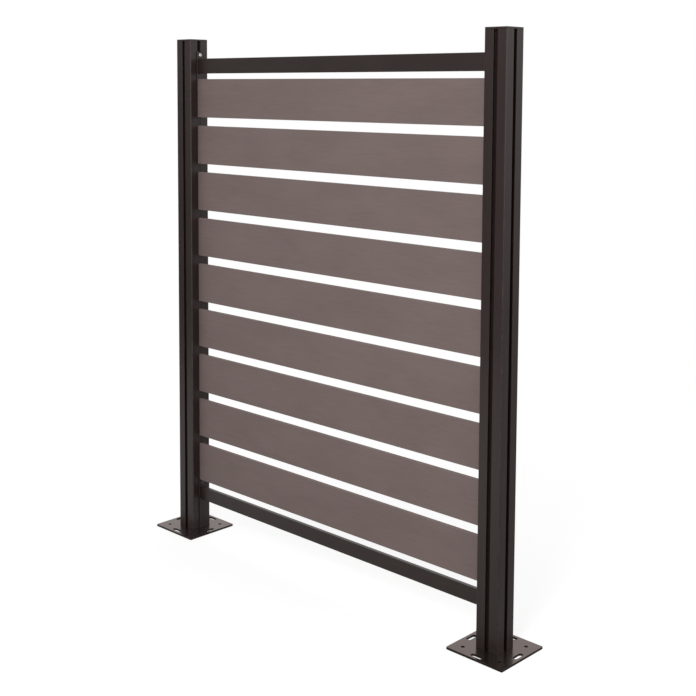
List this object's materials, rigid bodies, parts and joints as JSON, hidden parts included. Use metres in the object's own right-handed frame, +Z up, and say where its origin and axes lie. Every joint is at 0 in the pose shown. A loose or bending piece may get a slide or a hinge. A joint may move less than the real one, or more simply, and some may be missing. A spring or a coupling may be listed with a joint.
{
  "type": "garden privacy screen",
  "caption": "Free-standing horizontal slat screen: composite boards with even gaps between two slotted square aluminium posts on slotted base plates.",
  "frame": {"origin": "on the ground, midway between the two posts' axes, at the bottom centre of the whole screen", "axes": "+Z up, +X along the slats to the right, -Y the front face that the picture shows"},
  "size_m": [1.608, 0.204, 1.8297],
  "materials": {
    "coated_post": "satin-gloss dark bronze powder coat on an aluminium extrusion",
    "coated_cap": "satin-gloss dark bronze powder coat",
    "coated_plate": "satin-gloss dark bronze powder coat, faintly dusty",
    "coated_rail": "satin dark bronze powder coat",
    "coated_bracket": "satin dark bronze powder coat",
    "key_plastic": "fine-grained moulded near-black plastic",
    "slat_composite": "smooth matte taupe-grey composite with a faint brushed grain",
    "screw_steel": "bright zinc-plated steel"
  },
  "bodies": {
    "root": {"left_base_plate": "coated_plate", "left_post": "coated_post", "left_post_cap": "coated_cap", "left_plate_screw_1": "screw_steel", "left_plate_screw_2": "screw_steel", "left_plate_screw_3": "screw_steel", "left_plate_screw_4": "screw_steel", "left_standoff": "key_plastic", "left_spacer_1": "key_plastic", "left_spacer_2": "key_plastic", "left_spacer_3": "key_plastic", "left_spacer_4": "key_plastic", "left_spacer_5": "key_plastic", "left_spacer_6": "key_plastic", "left_spacer_7": "key_plastic", "left_spacer_8": "key_plastic", "left_bottom_bracket": "coated_bracket", "left_top_bracket": "coated_bracket", "left_bottom_bracket_screw": "screw_steel", "left_top_bracket_screw": "screw_steel", "right_base_plate": "coated_plate", "right_post": "coated_post", "right_post_cap": "coated_cap", "right_plate_screw_1": "screw_steel", "right_plate_screw_2": "screw_steel", "right_plate_screw_3": "screw_steel", "right_plate_screw_4": "screw_steel", "right_standoff": "key_plastic", "right_spacer_1": "key_plastic", "right_spacer_2": "key_plastic", "right_spacer_3": "key_plastic", "right_spacer_4": "key_plastic", "right_spacer_5": "key_plastic", "right_spacer_6": "key_plastic", "right_spacer_7": "key_plastic", "right_spacer_8": "key_plastic", "right_bottom_bracket": "coated_bracket", "right_top_bracket": "coated_bracket", "right_bottom_bracket_screw": "screw_steel", "right_top_bracket_screw": "screw_steel", "bottom_rail": "coated_rail", "top_rail": "coated_rail", "slat_1": "slat_composite", "slat_2": "slat_composite", "slat_3": "slat_composite", "slat_4": "slat_composite", "slat_5": "slat_composite", "slat_6": "slat_composite", "slat_7": "slat_composite", "slat_8": "slat_composite", "slat_9": "slat_composite"}
  },
  "joints": []
}
